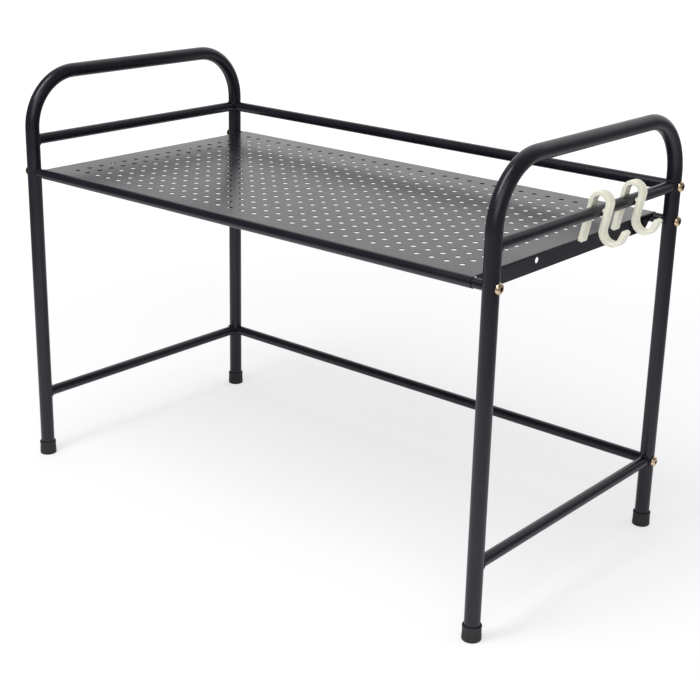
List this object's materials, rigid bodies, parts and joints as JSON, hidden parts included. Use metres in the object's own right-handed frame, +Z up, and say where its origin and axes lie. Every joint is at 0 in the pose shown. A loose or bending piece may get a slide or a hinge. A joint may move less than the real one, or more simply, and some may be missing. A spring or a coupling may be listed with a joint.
{
  "type": "microwave shelf",
  "caption": "Free-standing tubular steel shelf that bridges a countertop oven, with a perforated deck, guard rails, rubber feet and sliding hooks.",
  "frame": {"origin": "on the floor, midway between the four legs", "axes": "+X to the shelf's right (the side with the hooks), -Y towards its open front, +Z up"},
  "size_m": [0.6848, 0.3476, 0.472],
  "materials": {
    "tube_black": "semi-gloss",
    "deck_black": "semi-gloss",
    "foot_rubber": "matte",
    "bolt_brass": "satin",
    "plug_steel": "satin",
    "hook_ivory": "satin"
  },
  "bodies": {
    "shelf": {"left_frame_tube": "tube_black", "left_guard_rail": "tube_black", "left_lower_rail": "tube_black", "left_weld_beads": "tube_black", "right_frame_tube": "tube_black", "right_guard_rail": "tube_black", "right_lower_rail": "tube_black", "right_weld_beads": "tube_black", "rear_guard_rail": "tube_black", "rear_lower_rail": "tube_black", "front_deck_tube": "tube_black", "rear_deck_tube": "tube_black", "deck_panel": "deck_black", "foot_front_left": "foot_rubber", "foot_front_right": "foot_rubber", "foot_rear_left": "foot_rubber", "foot_rear_right": "foot_rubber", "screw_deck_front_left": "bolt_brass", "screw_deck_rear_left": "bolt_brass", "screw_guard_rear_left": "bolt_brass", "screw_lower_rear_left": "bolt_brass", "screw_deck_front_right": "bolt_brass", "screw_deck_rear_right": "bolt_brass", "screw_guard_rear_right": "bolt_brass", "screw_lower_rear_right": "bolt_brass", "plug_deck_front_left": "plug_steel", "plug_deck_rear_left": "plug_steel", "plug_guard_rear_left": "plug_steel", "plug_lower_rear_left": "plug_steel", "plug_deck_front_right": "plug_steel", "plug_deck_rear_right": "plug_steel", "plug_guard_rear_right": "plug_steel", "plug_lower_rear_right": "plug_steel"},
    "front_hook": {"hook_front": "hook_ivory"},
    "rear_hook": {"hook_rear": "hook_ivory"}
  },
  "joints": [
    {"name": "front_hook_slide", "type": "slide", "parent": "shelf", "child": "front_hook", "axis": [0, 1, 0], "range_m": [-0.16, 0.025]},
    {"name": "rear_hook_slide", "type": "slide", "parent": "shelf", "child": "rear_hook", "axis": [0, 1, 0], "range_m": [-0.025, 0.069]}
  ]
}
